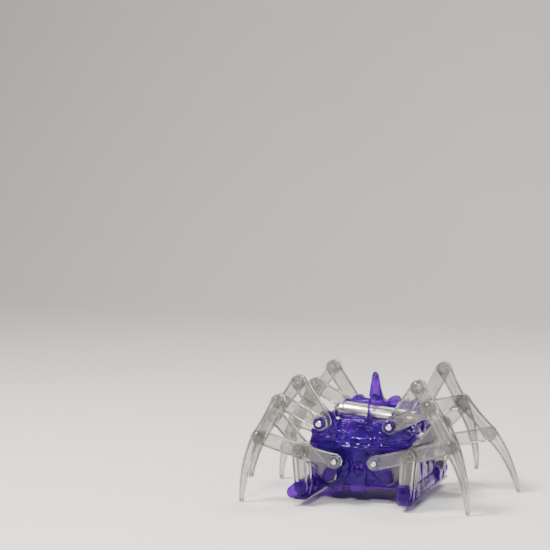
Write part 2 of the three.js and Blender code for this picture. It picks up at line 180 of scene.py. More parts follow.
def rounded(solid, width, segments=2):
    """The solid with its sharper edges rounded."""
    worked = scratch(solid)
    step = worked.modifiers.new("edge", "BEVEL")
    step.width, step.segments, step.limit_method = width, segments, "ANGLE"
    step.angle_limit, step.use_clamp_overlap = BEVEL_ANGLE, True
    return settled(worked)


def arc(x, z, radius, start, end, steps):
    return [
        (x + radius * math.cos(math.radians(start + (end - start) * i / steps)),
         z + radius * math.sin(math.radians(start + (end - start) * i / steps)))
        for i in range(steps + 1)
    ]


def bezier(a, b, c, steps):
    shares = [i / steps for i in range(steps + 1)]
    return [(1 - t) ** 2 * Vector(a) + 2 * t * (1 - t) * Vector(b) + t * t * Vector(c) for t in shares]


def circle(sides):
    """The angles of a regular polygon's corners."""
    return [2 * math.pi * i / sides for i in range(sides)]


def turned(profile, x=0.0, z=0.0, sides=28):
    """A round solid about an axis along Y, from (radius, y) pairs."""
    turns = circle(sides)
    return loft([[(x + r * math.cos(t), y, z + r * math.sin(t)) for t in turns] for r, y in profile])


def upright(profile, x, y, sides=24):
    """A round solid about an upright axis, from (radius, z) pairs."""
    turns = circle(sides)
    return loft([[(x + r * math.cos(t), y + r * math.sin(t), z) for t in turns] for r, z in profile])


def sided(profile, s):
    """A profile of (radius, y) pairs drawn for the far side, put on side s."""
    return [(r, s * y) for r, y in profile]


def endwise(solid, x, s):
    """A solid drawn along Y from y = 0, turned to stand out along X from the wall at x on side s."""
    return moved(solid, Matrix.Translation((x, 0, 0)) @ Matrix.Rotation(-s * math.pi / 2, 4, "Z"))


def plate(outline, y0, y1):
    return loft([[(x, y, z) for x, z in outline] for y in (y0, y1)])


def block(x0, x1, y0, y1, z0, z1):
    return plate([(x0, z0), (x1, z0), (x1, z1), (x0, z1)], y0, y1)


def bar(x0, x1, y0, y1, z0, z1, edge):
    """A block with its edges rounded by edge."""
    return rounded(block(x0, x1, y0, y1, z0, z1), edge)


def rounded_rectangle(half_x, half_y, radius, steps=5):
    quarters = ((1, 1, 0), (-1, 1, 90), (-1, -1, 180), (1, -1, 270))
    return [
        point for sx, sy, start in quarters
        for point in arc(sx * (half_x - radius), sy * (half_y - radius), radius, start, start + 90, steps)
    ]


def leaned(solid):
    """A solid drawn level about the cell's middle, leaned as the cell leans."""
    middle = Matrix.Translation((CELL_X, 0, CELL_Z))
    return moved(solid, middle @ Matrix.Rotation(CELL_LEAN, 4, "Y") @ middle.inverted())


# Materials


def new_material(name):
    """A material with its node tree, its shader, and the output that gives object coordinates."""
    material = bpy.data.materials.new(name)
    material.use_nodes = True
    tree = material.node_tree
    where = tree.nodes.new("ShaderNodeTexCoord").outputs["Object"]
    return material, tree, tree.nodes["Principled BSDF"], where


def node(tree, kind, links, **inputs):
    """A node with the outputs in links joined to its inputs, and the other inputs set."""
    made = tree.nodes.new(kind)
    for name, output in links.items():
        tree.links.new(output, made.inputs[name])
    for name, value in inputs.items():
        made.inputs[name.replace("_", " ")].default_value = value
    return made


def noise(tree, where, **inputs):
    return node(tree, "ShaderNodeTexNoise", {"Vector": where}, **inputs).outputs["Fac"]


def remapped(tree, value, **inputs):
    return node(tree, "ShaderNodeMapRange", {"Value": value}, **inputs).outputs["Result"]


def two_tone(tree, share, dark, light, start, end):
    """A ramp from a dark colour, up to start, to a light one, from end."""
    ramp = node(tree, "ShaderNodeValToRGB", {"Fac": share})
    low, high = ramp.color_ramp.elements
    low.position, low.color = start, (*dark, 1)
    high.position, high.color = end, (*light, 1)
    return ramp.outputs["Color"]


def plastic(
    name, dark, light, low, transmission, roughness, ior,
    wave=0.1, gleam=0.5, gleam_tint=(1, 1, 1),
):
    """Moulded clear plastic: a drifting tint, flow marks and a ripple. Near the floor the tint leans to low,
    a painted reflection of warm light from below.

    The gleam and its tint are the strength and the colour of what the surface reflects.
    """
    grain = 420.0
    material, tree, shader, where = new_material(name)
    shader.inputs["Transmission Weight"].default_value = transmission
    shader.inputs["IOR"].default_value = ior
    shader.inputs["Specular IOR Level"].default_value = gleam
    shader.inputs["Specular Tint"].default_value = (*gleam_tint, 1)
    drift = noise(tree, where, Scale=grain * 0.22, Detail=3.0)
    flow = noise(tree, where, Scale=grain, Detail=4.0, Distortion=0.8)
    swell = noise(tree, where, Scale=grain * 0.4, Detail=1.0, Distortion=1.5)
    height = node(tree, "ShaderNodeSeparateXYZ", {"Vector": where}).outputs["Z"]
    link = tree.links.new
    tint = tree.nodes.new("ShaderNodeMix")
    tint.data_type = "RGBA"
    # B is low: the painted reflection of warm light from below, which the tint leans to near the floor
    tint.inputs["B"].default_value = (*low, 1)
    link(two_tone(tree, drift, dark, light, 0.32, 0.68), tint.inputs["A"])
    # Share of the painted reflection: 0.6 at 4 mm up, fading to none from 30 mm up
    floor_reflection_share = remapped(tree, height, From_Min=0.004, From_Max=0.030, To_Min=0.6, To_Max=0.0)
    link(floor_reflection_share, tint.inputs["Factor"])
    link(tint.outputs["Result"], shader.inputs["Base Color"])
    link(remapped(tree, flow, To_Min=roughness * 0.6, To_Max=roughness * 1.7), shader.inputs["Roughness"])
    waves = node(tree, "ShaderNodeBump", {"Height": swell}, Strength=wave, Distance=0.0015)
    over_waves = {"Height": flow, "Normal": waves.outputs["Normal"]}
    ripple = node(tree, "ShaderNodeBump", over_waves, Strength=0.04, Distance=0.0003)
    link(ripple.outputs["Normal"], shader.inputs["Normal"])
    return material


def grained(name, dark, light, roughness, metallic, stretch=(1, 1, 1), grain=900.0, bump=0.05):
    """Metal or nylon: a clouded tint, and a fine grain that a stretch below 1 draws out along its axis."""
    material, tree, shader, where = new_material(name)
    shader.inputs["Metallic"].default_value = metallic
    squeezed = node(tree, "ShaderNodeMapping", {"Vector": where}, Scale=stretch).outputs["Vector"]
    streak = noise(tree, squeezed, Scale=grain, Detail=5.0)
    cloud = noise(tree, where, Scale=140.0, Detail=3.0)
    link = tree.links.new
    link(two_tone(tree, cloud, dark, light, 0.3, 0.65), shader.inputs["Base Color"])
    link(remapped(tree, streak, To_Min=roughness * 0.75, To_Max=roughness * 1.4), shader.inputs["Roughness"])
    ripple = node(tree, "ShaderNodeBump", {"Height": streak}, Strength=bump, Distance=0.0002)
    link(ripple.outputs["Normal"], shader.inputs["Normal"])
    return material


LOOK = {
    # The third colour of each plastic is low, its painted reflection of warm light from below near the floor
    "violet_plastic": plastic(
        "violet", (0.06, 0.001, 0.29), (0.20, 0.010, 0.64), (0.15, 0.003, 0.46), 0.92, 0.05, 1.42,
        wave=0.38, gleam=0.35, gleam_tint=(0.5, 0.42, 1.0),
    ),
    "smoke_plastic": plastic(
        "smoke", (0.50, 0.485, 0.465), (0.68, 0.665, 0.64), (0.63, 0.605, 0.58), 0.96, 0.03, 1.5,
    ),
    "cell_can": grained("nickel", (0.50, 0.475, 0.44), (0.66, 0.635, 0.60), 0.24, 1.0, (0.06, 1, 1)),
    "motor_can": grained("steel", (0.62, 0.61, 0.60), (0.80, 0.79, 0.77), 0.22, 1.0, (1, 0.1, 1)),
    "brass_pinion": grained("brass", (0.55, 0.36, 0.13), (0.72, 0.50, 0.22), 0.28, 1.0, (1, 0.1, 1)),
    "white_nylon": grained("nylon", (0.62, 0.61, 0.58), (0.78, 0.77, 0.74), 0.45, 0.0, grain=700.0, bump=0.1),
}
LOOK["steel"] = LOOK["motor_can"]


def piece(name, solid, body, slot, replaces=(), sharp=32):
    """A visible piece that rides on a body. Edges of more than sharp degrees stay sharp."""
    mesh = bpy.data.meshes.new(name)
    mesh.from_pydata([tuple(place(p)) for p in solid[0]], [], solid[1])
    work = bmesh.new()
    work.from_mesh(mesh)
    bmesh.ops.recalc_face_normals(work, faces=work.faces)
    work.to_mesh(mesh)
    work.free()
    mesh.polygons.foreach_set("use_smooth", [True] * len(mesh.polygons))
    mesh.set_sharp_from_angle(angle=math.radians(sharp))
    made = bpy.data.objects.new(name, mesh)
    scene.collection.objects.link(made)
    mesh.materials.append(LOOK[slot])
    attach(made, body)
    if replaces:
        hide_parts(*replaces)


# Links, each drawn from its first pivot along +x, y outward from the robot, z across


def stadium(length, start_radius, end_radius, steps=9):
    """Outline of a bar with round ends, as a function of how far in from its edge."""
    lean = math.degrees(math.asin((start_radius - end_radius) / length))

    def outline(inset):
        return (
            arc(0, 0, start_radius - inset, 90 - lean, 270 + lean, steps)
            + arc(length, 0, end_radius - inset, -90 + lean, 90 - lean, steps)
        )
    return outline


def rimmed(outline, rim=0.75):
    """A plate with a raised rim round its recessed faces and rounded outer edges."""
    depth, edge = 0.75, 0.3
    steps = [(rim + 0.3, HALF - depth), (rim, HALF - 0.08), (rim - 0.12, HALF), (edge, HALF),
             (edge * 0.3, HALF - edge * 0.3), (0, HALF - edge)]
    section = [(inset, -y) for inset, y in steps] + [(inset, y) for inset, y in reversed(steps)]
    return loft([[(x, y, z) for x, z in outline(inset)] for inset, y in section])


def hub(x, z, radius, lift=0.0):
    """A boss with a ring-shaped groove in its outer face, which stands out from the link by lift."""
    top = HALF + lift
    profile = [(radius - 0.25, -HALF), (radius, -HALF + 0.25), (radius, top - 0.22), (radius - 0.22, top),
               (radius - 0.5, top), (radius - 0.62, top - 0.4), (radius - 0.98, top - 0.4),
               (radius - 1.1, top - 0.05)]
    return turned(profile, x, z)


def bore(x, z, radius):
    return turned([(radius, -4), (radius, 4)], x, z, 20)


def snap_pin(x, z, toward, angle):
    """A split pin through the next link, with a barbed head beyond it."""
    start, reach = HALF - 0.3, HALF + 0.4 + 2 * HALF
    head = [(1.2, 0.22), (2.7, 0.24), (2.85, 0.42), (2.7, 0.7), (2.3, 0.98), (1.7, 1.16), (1.25, 1.1),
            (0.95, 0.7)]
    profile = [(1.2, start)] + [(r, reach + y) for r, y in head]
    body = turned(sided(profile, toward), x, z, 24)
    slot = block(-2.6, 2.6, toward * (start + 1.2), toward * (reach + 1.2), -0.26, 0.26)
    turn = Matrix.Translation((x, 0, z)) @ Matrix.Rotation(math.radians(angle), 4, "Y")
    return cut(body, moved(slot, turn))


def make_upper_rocker():
    body = rimmed(stadium(UPPER_ROCKER, ARM_HALF, ARM_HALF))
    body = union(body, hub(0, 0, 3.55), hub(UPPER_ROCKER, 0, 3.55))
    return cut(body, bore(0, 0, PIVOT_BORE), bore(UPPER_ROCKER, 0, OPEN_BORE))


def make_lower_rocker():
    body = rimmed(stadium(LOWER_ROCKER, 3.5, 3.7), rim=0.7)
    body = union(body, hub(0, 0, 3.0), hub(LOWER_ROCKER, 0, 3.35))
    return cut(body, bore(0, 0, PIVOT_BORE), bore(LOWER_ROCKER, 0, OPEN_BORE))


def make_coupler():
    """Two bars that meet at a slight bend, with a snap pin at the bend and at the far end."""
    way = Vector((math.cos(COUPLER_BEND), math.sin(COUPLER_BEND)))
    knee = Vector((COUPLER_TO_LOWER, 0)) + COUPLER_TO_LEG * way
    near = rimmed(stadium(COUPLER_TO_LOWER, 4.0, 4.0))
    bend = Matrix.Translation((COUPLER_TO_LOWER, 0, 0)) @ Matrix.Rotation(-COUPLER_BEND, 4, "Y")
    far = moved(rimmed(stadium(COUPLER_TO_LEG, 4.0, 4.0)), bend)
    boss = [(3.4, -HALF), (3.4, HALF)]
    body = union(near, far)
    body = union(body, hub(0, 0, 3.55), turned(boss, COUPLER_TO_LOWER, 0), turned(boss, *knee))
    body = cut(body, bore(0, 0, CRANK_BORE))
    return union(body, snap_pin(COUPLER_TO_LOWER, 0, 1, 25), snap_pin(*knee, 1, 70))


def leg_spine():
    """Points down the middle of the leg from its top pivot to its tip, with the half-width at each."""
    tip = Vector((LEG_TOP + CLAW * math.cos(CLAW_ANGLE), CLAW * math.sin(CLAW_ANGLE)))
    stops = []
    for i in range(7):
        t = i / 7
        stops.append((Vector((LEG_TOP * t, 0)), ARM_HALF - 0.75 * math.sin(math.pi * t) ** 0.8))
    for i, point in enumerate(bezier((LEG_TOP, 0), (LEG_TOP + CLAW_BEND, 0), tip, 16)):
        stops.append((point, KNEE_HALF + (TIP_HALF - KNEE_HALF) * (i / 16) ** 0.85))
    return stops


def leg_outline(inset):
    """The leg's outline with its round top and blunt tip, at a distance in from its edge."""
    stops = leg_spine()
    left, right = [], []
    for i, (point, half) in enumerate(stops):
        before, after = stops[max(i - 1, 0)][0], stops[min(i + 1, len(stops) - 1)][0]
        along = (after - before).normalized()
        across = Vector((-along.y, along.x))
        width = max(half - inset, 0.06)
        back = along * max(inset * 0.9, 0.9) if i == len(stops) - 1 else Vector((0, 0))
        left.append(tuple(point - back + across * width))
        right.append(tuple(point - back - across * width))
    end, along = stops[-1][0], (stops[-1][0] - stops[-2][0]).normalized()
    across = Vector((-along.y, along.x)) * max(0.75 - inset, 0.03)
    blunt = end - along * 0.9 + along * max(0.9 - inset, -inset * 0.4)
    cap = arc(0, 0, ARM_HALF - inset, 90, 270, 10)
    return cap[1:-1] + right + [tuple(blunt - across), tuple(blunt + across)] + left[::-1]


def make_leg():
    """The claw and its straight top arm, with a rib down the middle, and a pin and a button at the top."""
    body = rimmed(leg_outline, rim=0.8)
    spine = leg_spine()
    deep = HALF - 0.12
    rib = []
    for i, (point, half) in enumerate(spine[1:-3]):
        width = 0.42 if half > 2.6 else 0.3
        along = (spine[i + 2][0] - spine[i][0]).normalized()
        across = Vector((-along.y, along.x)) * width
        low, high = point - across, point + across
        corners = ((low, -deep), (high, -deep), (high, deep), (low, deep))
        rib.append([(at.x, y, at.y) for at, y in corners])
    body = union(body, loft(rib))
    body = union(body, hub(0, 0, 3.6, 0.1), hub(LEG_TOP, 0, 3.5))
    button = [(3.0, -0.5), (3.0, 0.2), (2.75, 0.5), (2.2, 0.8), (1.5, 0.95), (1.1, 0.85), (0.8, 0.4)]
    body = union(cut(body, bore(LEG_TOP, 0, KNEE_BORE)), turned([(r, HALF + y) for r, y in button]))
    return union(body, snap_pin(0, 0, -1, 120))


LINKS = {
    "upper_rocker": make_upper_rocker(),
    "lower_rocker": make_lower_rocker(),
    "coupler": make_coupler(),
    "leg": make_leg(),
}


def meet(a, from_a, b, from_b, hand):
    """The point at two distances from a and b: left of the way from a to b, or right of it if hand is -1."""
    gap = b - a
    along = (gap.length ** 2 + from_a ** 2 - from_b ** 2) / (2 * gap.length)
    across = math.sqrt(from_a ** 2 - along ** 2)
    way = gap.normalized()
    return a + way * along + Vector((-way.y, way.x)) * across * hand


def link_frame(start, end, middle, hand, out):
    """The turn and move that lay a link from start towards end, in the plane at y = middle."""
    way = (end - start).normalized()
    return Matrix((
        (way.x, 0, -way.y * hand, start.x),
        (0, out, 0, middle),
        (way.y, 0, way.x * hand, start.y),
        (0, 0, 0, 1),
    ))


for corner, hand, out in CORNERS:
    for which in ("outer", "inner"):
        stem = f"{corner}_{which}_"
        crank, knee = flat(stem + "crank_pin"), flat(stem + "knee")
        upper, foot = flat(stem + "upper_pivot"), flat(stem + "foot_pivot")
        lower = meet(crank, COUPLER_TO_LOWER, foot, LOWER_ROCKER, hand)
        top = meet(upper, UPPER_ROCKER, knee, LEG_TOP, hand)
        crank_y, leg_y = (out * MIDDLE_Y[which][k] for k in ("crank", "leg"))
        for kind, start, end, middle in (
            ("coupler", crank, lower, crank_y),
            ("lower_rocker", foot, lower, leg_y),
            ("upper_rocker", upper, top, crank_y),
            ("leg", top, knee, leg_y),
        ):
            shape = moved(LINKS[kind], link_frame(start, end, middle, hand, out))
            piece(f"{stem}{kind}_link", shape, stem + kind, "smoke_plastic", [stem + kind])


# Screws


def screw_head(x, z, y0, y1, radius, angle):
    """A domed head with a crossed recess, its top at y1."""
    up = 1 if y1 > y0 else -1
    high = abs(y1 - y0)
    profile = [(radius * 0.55, 0), (radius, 0.02), (radius, high * 0.35), (radius * 0.9, high * 0.7),
               (radius * 0.62, high * 0.94), (radius * 0.2, high)]
    head = turned([(r, y0 + up * y) for r, y in profile], x, z, 26)
    long, wide = radius * 0.62, radius * 0.13
    slots = []
    for quarter in (0, 90):
        arm = block(-long, long, y0 + up * high * 0.45, y1 + up, -wide, wide)
        turn = Matrix.Translation((x, 0, z)) @ Matrix.Rotation(math.radians(angle + quarter), 4, "Y")
        slots.append(moved(arm, turn))
    return cut(head, *slots)


def standing_screw(x, y, z, height, radius, angle, up=1):
    """A screw head on an upright axis, facing up, or down if up is -1."""
    turn = Matrix.Translation((x, y, z)) @ Matrix.Rotation(up * math.pi / 2, 4, "X")
    return moved(screw_head(0, 0, 0, height, radius, angle), turn)


# Cranks: a disc on the shaft, a pin for the inner leg, and a web from there to the outer leg's pin

DISC = [
    (7.6, 24.4), (8, 24.7), (8, 26.7), (7.75, 27), (6.9, 27), (6.6, 26), (3.6, 26), (3.3, 26.95), (2.6, 27),
]
INNER_PIN = [(3.0, 25.8), (3.0, 27.1), (1.7, 27.2), (1.7, 31)]
OUTER_PIN = [(1.7, 33), (1.7, 38.9), (1.4, 39.2)]
WEB_Y, WEB_HALF = 32.0, 1.3
HOLE_FROM_SHAFT, HOLE_RADIUS, HOLE_TO_PIN = 5.2, 1.25, 4.4
HOLE_STEP, HOLE_START = 2.1, 0.5  # in radians, about a third of a turn apart


def make_crank(shaft, inner_pin, outer_pin, out):
    """The disc has three places for holes, and the hole that would come too near the pin is left out."""
    disc = turned(sided(DISC, out), *shaft, sides=44)
    crank = union(disc, turned(sided(INNER_PIN, out), *inner_pin, sides=24))
    for k in range(3):
        turn = k * HOLE_STEP + HOLE_START
        hole_at = shaft + HOLE_FROM_SHAFT * Vector((math.cos(turn), math.sin(turn)))
        if (hole_at - inner_pin).length > HOLE_TO_PIN:
            crank = cut(crank, turned([(HOLE_RADIUS, out * y) for y in (23, 28)], *hole_at, sides=16))
    web = rounded(plate(stadium(2 * CRANK_RADIUS, 3.0, 3.0)(0), -WEB_HALF, WEB_HALF), 0.35)
    web = moved(web, link_frame(inner_pin, outer_pin, out * WEB_Y, 1, out))
    return union(crank, web, turned(sided(OUTER_PIN, out), *outer_pin, sides=24))


for corner, hand, out in CORNERS:
    inner_pin, outer_pin = flat(f"{corner}_inner_crank_pin"), flat(f"{corner}_outer_crank_pin")
    crankshaft = ("left" if hand < 0 else "right") + "_crankshaft"
    arm = make_crank(Vector((hand * CRANK_X, CRANK_Z)), inner_pin, outer_pin, out)
    piece(f"{corner}_crank_arm", arm, crankshaft, "violet_plastic", [f"{corner}_crank"])
    head = screw_head(*outer_pin, out * 38.85, out * 39.8, 1.5, 10 + 25 * hand)
    piece(f"{corner}_crank_screw", head, crankshaft, "steel")

# Upper pivots, each a violet sleeve on the ear with a bright screw, and the foot pins

SLEEVE = [
    (1.5, 23), (1.5, 30.5), (2.9, 30.6), (3.0, 30.8), (3.0, 34.9), (2.9, 35.1), (1.5, 35.2), (1.5, 38.6),
    (3.0, 38.7), (3.1, 38.9), (3.1, 39.4), (2.9, 39.6), (2.1, 39.6), (1.95, 39.2), (1.4, 39.2),
]
FOOT_PIN = [(1.5, 24.6), (1.5, 43.9), (2.2, 44.0), (2.5, 44.25), (2.4, 44.8), (1.5, 45.15), (0.4, 45.2)]

for corner, hand, out in CORNERS:
    sleeve = turned(sided(SLEEVE, out), hand * UPPER_X, UPPER_Z)
    piece(f"{corner}_upper_sleeve", sleeve, "frame", "violet_plastic", [f"{corner}_upper_pivot"])
    head = screw_head(hand * UPPER_X, UPPER_Z, out * 39.15, out * 40.1, 1.7, 35 * hand)
    piece(f"{corner}_upper_screw", head, "frame", "steel")
    pin = turned(sided(FOOT_PIN, out), hand * FOOT_X, FOOT_Z)
    piece(f"{corner}_foot_pin", pin, "frame", "violet_plastic", [f"{corner}_foot_pivot"])

# Lower tub

TUB_STEPS = [  # half-widths along X and Y and height: up the outside, over the rim and down the inside
    (24.9, 22.4, 8.0), (26.2, 23.4, 8.3), (26.9, 23.8, 8.9), (30.2, 24.0, 12.2), (30.1, 24.0, 13.5),
    (29.3, 24.0, 26.0), (29.0, 24.0, 31.3), (28.75, 23.75, 31.6), (27.5, 22.4, 31.6), (27.2, 22.2, 31.2),
    (27.3, 22.2, 26.0), (28.4, 22.2, 13.4), (28.2, 22.1, 12.4), (25.6, 21.8, 9.8), (25.0, 21.2, 9.6),
]
CRANK_RIM = [(9.6, 23.2), (9.6, 24.7), (9.4, 24.9), (8.8, 24.9), (8.6, 24.7), (8.6, 23.2)]
UNDERSIDE_BOSS = [(3.0, 9), (3.0, 7.3), (2.8, 7.1), (2.1, 7.1), (2.0, 7.9), (0.5, 7.9)]


def seam_lip(s, z0, z1, reach):
    """A ridge along a long wall at the seam, bowed outward and down in the middle."""
    loops = []
    for i in range(25):
        x = -28.6 + 57.2 * i / 24
        bow = math.cos(math.pi * x / 62) ** 2
        out, drop = reach + 1.5 * bow, 0.9 * bow
        loops.append([(x, s * (WALL_Y - 1), z0 - drop), (x, s * (out - 0.35), z0 - drop),
                      (x, s * out, z0 + 0.3 - drop), (x, s * out, z1 - 0.3 - drop * 0.3),
                      (x, s * (out - 0.35), z1 - drop * 0.1), (x, s * (WALL_Y - 1), z1)])
    return loft(loops)


def dome(x, z, y, radius, rise, s):
    """A low dome that stands out from the wall at y on side s."""
    turns = [math.radians(a) for a in (0, 20, 40, 60, 75, 86)]
    steps = [(radius * math.cos(t), y + rise * math.sin(t)) for t in turns]
    return turned(sided([(radius, y - 1.5), *steps], s), x, z)


def ring_boss(x, z, y, radius, hole, rise, s):
    """A short round boss with a blind hole, on the wall at y on side s."""
    profile = [(radius, y - 1.07), (radius, y + rise - 0.3), (radius - 0.3, y + rise),
               (hole + 0.3, y + rise), (hole, y + rise - 0.3), (hole, y - 0.9)]
    return turned(sided(profile, s), x, z)


def wall_lugs(s):
    """Three flat round-topped lugs on a long wall, with the middle one's dome."""
    middle = plate([(-5.3, 6.4), (2.9, 6.4), *arc(-1.2, 18.6, 4.7, -20, 200, 16)], s * 23.2, s * 25.1)
    left_top = arc(-14.6, 14.5, 5.6, 10, 170, 14)
    left = plate([(-15.2, 6.4), (-10.2, 6.4), (-9.2, 11), *left_top, (-19.4, 11)], s * 23.1, s * 24.75)
    right = plate([(18.5, 8.8), (26.6, 8.8), *arc(23.6, 15.2, 4.4, -10, 170, 14)], s * 23.3, s * 24.65)
    return [dome(-1.2, 18.6, 24.6, 3.2, 2.4, s), *[rounded(lug, 0.45, 3) for lug in (middle, left, right)]]


def wall_details(s):
    """What stands on a long wall: seam lip, lugs, small domes, ring bosses, tabs, skirting and ribs."""
    bosses = [  # x, z, radius, hole and rise
        (5.1, 11.0, 2.1, 1.0, 0.9), (-24.6, 15.0, 2.6, 1.3, 0.8),
        (25.2, 20.0, 2.4, 1.2, 0.8), (-25.4, 26.2, 1.9, 0.9, 1.0),
    ]
    return [
        seam_lip(s, 30.2, SEAM_Z, 24.5),
        *wall_lugs(s),
        *[dome(x, 26.8, WALL_Y, 1.3, 0.9, s) for x in (-5.7, 3.4)],
        *[ring_boss(x, z, WALL_Y, radius, hole, rise, s) for x, z, radius, hole, rise in bosses],
        *[bar(x - 1.8, x + 1.8, s * 21.8, s * 24.3, 6.4, 13.5, 0.5) for x in (-12, -1.5)],
        bar(-27, 27, s * 22.8, s * 24.6, 8.9, 10.1, 0.4),
        *[bar(x - 0.6, x + 0.6, s * 22.6, s * 24.5, 9.4, 30.6, 0.3) for x in (-22, -8, 8, 22)],
    ]


def rims_and_end_details(s):
    """The rings round the cranks on a long wall, and an end wall's ribs, rail under the seam and bosses."""
    boss = endwise(ring_boss(0, 24, 0.6, 3.0, 1.4, 1.1, 1), s * 28.6, s)
    rib_x, rail_x = sorted((s * 28.4, s * 30.4)), sorted((s * 28.0, s * 29.9))
    return [
        *[turned(sided(CRANK_RIM, s), x, CRANK_Z, 48) for x in (-CRANK_X, CRANK_X)],
        *[bar(*rib_x, y - 0.8, y + 0.8, 10.4, 30.4, 0.4) for y in (-20.5, -7.5, 7.5, 20.5)],
        bar(*rail_x, -23.6, 23.6, 30.2, 31.5, 0.4),
        *[moved(boss, Matrix.Translation((0, y, 0))) for y in (-14.6, 14.6)],
    ]


def underside_details():
    """Crossed ribs and screw bosses under the floor of the tub."""
    return [
        *[bar(-23, 23, y - 0.6, y + 0.6, 7.2, 9, 0.3) for y in (-11, 11)],
        *[bar(x - 0.6, x + 0.6, -19, 19, 7.4, 9, 0.3) for x in (-17, 0, 17)],
        *[upright(UNDERSIDE_BOSS, x, y) for x, y in UNDERSIDE_SCREWS],
    ]


def foot_details(hand, out):
    """The two cheeks that hold a corner's lower rockers, and the rounded foot outside them.

    The left feet reach out to the left, and the right feet point down.
    """
    x = hand * FOOT_X
    pivot = Vector((x, FOOT_Z))
    cheek = [(x - 3.6, 5.0), (x + 3.6, 5.0), *arc(x, FOOT_Z, 4, 0, 180, 10)]
    reach, drop, end_radius = (4.6, 212, 3.4) if hand < 0 else (3.4, 262, 3.1)
    way = Vector((math.cos(math.radians(drop)), math.sin(math.radians(drop))))
    tongue = rounded(plate(stadium(reach, 4.0, end_radius, 10)(0), -1.1, 1.1), 0.75, 3)
    return [
        *[rounded(plate(cheek, out * y0, out * y1), 0.6, 3) for y0, y1 in ((23.2, 30.2), (33.8, 38.3))],
        dome(*(pivot + way * reach), 43.75, end_radius - 0.35, 1.35, out),
        moved(tongue, link_frame(pivot, pivot + way, out * 43.0, 1, out)),
    ]


def runner_and_sill(s):
    """The bar that joins two feet below an end wall, and the sill that joins it to the tub."""
    x = s * FOOT_X
    runner = [(x - 3.4, 3.8), (x + 3.4, 3.8), (x + 4.4, 5.0), (x + 3.6, 6.2), (x - 3.6, 6.2), (x - 4.4, 5.0)]
    sill = [(x - s * 3.2, 5.0), (x + s * 3.2, 5.0), (x + s * 3.2, 6.4), (x + s * 1.0, 11.4),
            (x - s * 3.0, 11.4), (x - s * 3.2, 6.4)]
    return [rounded(plate(runner, -42.6, 42.6), 0.5), rounded(plate(sill, -23.6, 23.6), 0.5)]


def tub_bores(s):
    """Holes for the foot pins and the crankshafts on a long side."""
    foot_hole = [(PIVOT_BORE, s * 24.4), (PIVOT_BORE, s * 50)]
    shaft_hole = [(1.9, s * 18), (1.9, s * 26)]
    return [
        *[turned(foot_hole, x, FOOT_Z, 20) for x in (-FOOT_X, FOOT_X)],
        *[turned(shaft_hole, x, CRANK_Z, 20) for x in (-CRANK_X, CRANK_X)],
    ]


def make_tub():
    tub = loft([
        [(x, y, z) for x, y in rounded_rectangle(half_x, half_y, 2.6)] for half_x, half_y, z in TUB_STEPS
    ])
    details = wall_details(-1) + wall_details(1) + rims_and_end_details(-1) + rims_and_end_details(1)
    feet = [part for _, hand, out in CORNERS for part in foot_details(hand, out)]
    tub = union(tub, *details, *underside_details())
    tub = union(tub, *feet, *runner_and_sill(-1), *runner_and_sill(1))
    return cut(tub, *tub_bores(-1), *tub_bores(1))


piece("lower_tub", make_tub(), "frame", "violet_plastic", ["lower_chassis"])
for i, (x, y) in enumerate(UNDERSIDE_SCREWS):
    piece(f"underside_screw_{i + 1}", standing_screw(x, y, 7.85, 0.7, 1.9, 25 * i, -1), "frame", "steel")

# Upper shell

EAR_BOSS = [(4.3, 23.5), (4.3, 24.5), (3.9, 24.8), (3.4, 24.8), (3.4, 26.7), (3.1, 27), (1.7, 27)]
SIDE_BOSS = [(2.6, 20), (2.6, 24.3), (2.2, 24.7), (1.5, 24.7), (1.4, 23.9), (0.7, 23.9)]
LOW_BOSS = [(3.4, 22.8), (3.4, 24.6), (3.0, 25), (2.3, 25), (2.0, 24.2), (1.2, 24.4)]
SHELL_SCREW_BOSS = [(2.9, 38), (2.6, 44.2), (2.3, 44.5), (0.5, 44.5)]
SHELL_WALL = 1.8


def shell_section(inset, drop):
    """The shell's outline in Y and Z, before the trough is cut."""
    side = WALL_Y - inset
    rim_y, rim_z = 10.4 - inset * 0.4, RIM_Z - inset
    half = [(side, SEAM_Z + 0.3 - drop), (side, 34.6 - inset * 0.4), (side - 0.25, 35.4 - inset * 0.45),
            (side - 0.9, 36.0 - inset * 0.5), ((side + rim_y) / 2, (36.0 + rim_z) / 2 + 0.35 - inset * 0.5),
            (rim_y + 0.5, rim_z - 0.25), (rim_y, rim_z)]
    return half + [(-y, z) for y, z in reversed(half)]


def shell_body(inset, drop):
    """The shell's block, rounded at its ends and a little shorter towards the top."""
    half = [(1, 1.0), (0.988, 0.3), (0.97, 0.06), (0.94, 0), (0.6, 0), (0.2, 0)]
    loops = []
    for share, round_in in half + [(-f, r) for f, r in reversed(half)]:
        x = share * (SHELL_END - inset)
        section = shell_section(inset + round_in, drop)
        loops.append([(x * (1 - (z - SEAM_Z) * 0.0032), y, z) for y, z in section])
    return loft(loops)


def trough(radius):
    """The room that is cut for the cell, right across the shell."""
    turns = circle(40)
    return leaned(loft([
        [(x, radius * math.cos(t), CELL_Z + radius * math.sin(t)) for t in turns] for x in (-40, 40)
    ]))


def slope_rib(x, s):
    """A low rib up the slope between the wall and the trough."""
    section = [(x - 0.5, 0), (x + 0.5, 0), (x + 0.5, 1), (x - 0.5, 1)]
    ends = ((23.0, 36.3), (11.4, 43.2))
    return loft([[(u, s * y, z - 0.9 + v * 1.35) for u, v in section] for y, z in ends])


